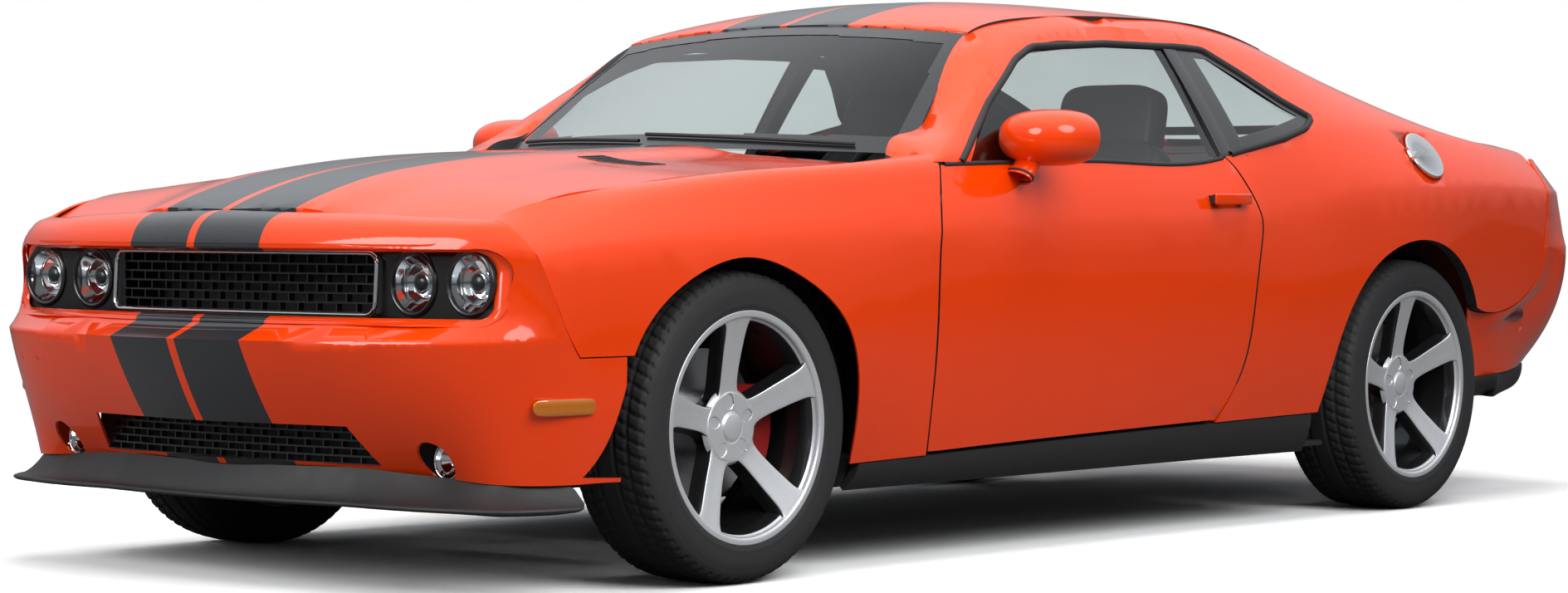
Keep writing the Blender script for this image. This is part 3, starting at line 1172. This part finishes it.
# painted frame round the lamps and the mesh: (share, four outs, four heights) of the cover
frameSet = {
    "rows": [(0.0, 0.0, -0.085, -0.064, -0.088, 0.395, 0.420, 0.540, 0.575),
             (0.354, 0.0, -0.084, -0.064, -0.088, 0.396, 0.422, 0.539, 0.572),
             (0.62, 0.0, -0.058, -0.058, -0.078, 0.398, 0.429, 0.535, 0.564),
             (0.74, 0.0, -0.021, -0.044, -0.066, 0.399, 0.434, 0.526, 0.555),
             (0.885, 0.0, 0.0, -0.010, -0.024, 0.400, 0.434, 0.510, 0.538),
             (1.0, 0.0, 0.0, -0.010, -0.020, 0.400, 0.434, 0.510, 0.538)],
    "inner": (0.806, 0.626, 0.773, 0.048, 0.030), "outer": (0.842, 0.610, 0.793, 0.070, 0.050),
    "sink": 0.020, "proud": 0.0016, "bezelBeyond": 0.70, "bezelAbove": 0.55, "bezelEnd": 0.836,
    "bezelSink": 0.026}


def noseX(y, z):
    # the cover's x at a half width and a height: the wrapped profile read at z and then at y
    rows = np.array(frameSet["rows"])
    share = np.linspace(0.0, 1.0, 120)
    outs = [np.interp(share, rows[:, 0], rows[:, k]) * blade["overhang"] for k in (1, 2, 3, 4)]
    tops = [np.interp(share, rows[:, 0], rows[:, k]) * carSet["height"] for k in (5, 6, 7, 8)]
    z = np.asarray(z, float)[None]
    out = outs[0][:, None] + 0 * z
    for k in range(3):
        t = np.clip((z - tops[k][:, None]) / (tops[k + 1] - tops[k])[:, None], 0, 1)
        out = out + (outs[k + 1] - outs[k])[:, None] * t
    place = wrapPoint(np.repeat(share[:, None], z.shape[1], 1), out, np.repeat(z, 120, 0))
    wide = np.abs(np.asarray(y, float))[None]
    row = np.clip((place[..., 1] < wide).sum(0) - 1, 0, 118)
    pick = np.arange(z.shape[1])
    y0, y1 = place[row, pick, 1], place[row + 1, pick, 1]
    t = np.clip((wide[0] - y0) / (y1 - y0), 0, 1)
    return place[row, pick, 0] * (1 - t) + place[row + 1, pick, 0] * t


def roundedLoop(end, low, high, upper, lower):
    # a long outline in end view with rounded ends, the same number of points whatever its size
    arc = np.linspace(0, math.pi / 2, 22)
    top = np.stack([end - upper + upper * np.sin(arc), high - upper + upper * np.cos(arc)], 1)
    bottom = np.stack([end - lower + lower * np.cos(arc), low + lower - lower * np.sin(arc)], 1)
    wall = np.linspace(top[-1], bottom[0], 10)[1:-1]
    right = np.concatenate([top, wall, bottom])
    straight = np.linspace(0, 1, 80)[1:-1, None]
    under = bottom[-1] * (1 - straight) + bottom[-1] * [-1, 1] * straight
    over = top[0] * [-1, 1] * (1 - straight) + top[0] * straight
    return np.concatenate([right, under, right[::-1] * [-1, 1], over])


inner, outer = roundedLoop(*frameSet["inner"]), roundedLoop(*frameSet["outer"])
t = np.linspace(0, 1, 9)[None, :, None]
strip = outer[:, None] * (1 - t) + inner[:, None] * t
x = noseX(strip[..., 0].ravel(), strip[..., 1].ravel()).reshape(strip.shape[:2])
x = x + frameSet["proud"] - frameSet["sink"] * t[..., 0] ** 2
points = np.concatenate([x[..., None], strip], -1).reshape(-1, 3)
faces = ringFaces(*strip.shape[:2])
facing = vertexNormals(points, faces)[:, 0].sum()
makePiece("noseFrame", points, handed(faces, facing), stripedPaint, "body", "body_paint")
mesh = copies["grille"].data
spots = readRows(mesh.vertices, "co")
ends = (np.abs(spots[:, 1]) > frameSet["bezelBeyond"]) & (spots[:, 2] > frameSet["bezelAbove"])
wide = np.minimum(np.abs(spots[ends, 1]), frameSet["bezelEnd"])
limit = noseX(wide, spots[ends, 2]) - frameSet["bezelSink"]
spots[ends, 0] = np.minimum(spots[ends, 0], limit)
spots[ends, 1] = np.sign(spots[ends, 1]) * wide
setSpots(mesh, spots)
y, z = np.meshgrid(np.linspace(-0.80, 0.80, 9), np.linspace(0.265, 0.455, 5), indexing="ij")
panel("intakeDuct", np.stack([2.06 + 0 * y, y, z], -1), structureBlack, "black_trim", 0.001, 0.003,
      sides=(1,), outward=(1, 0, 0))
print("nose frame ready")

print("sizes written")
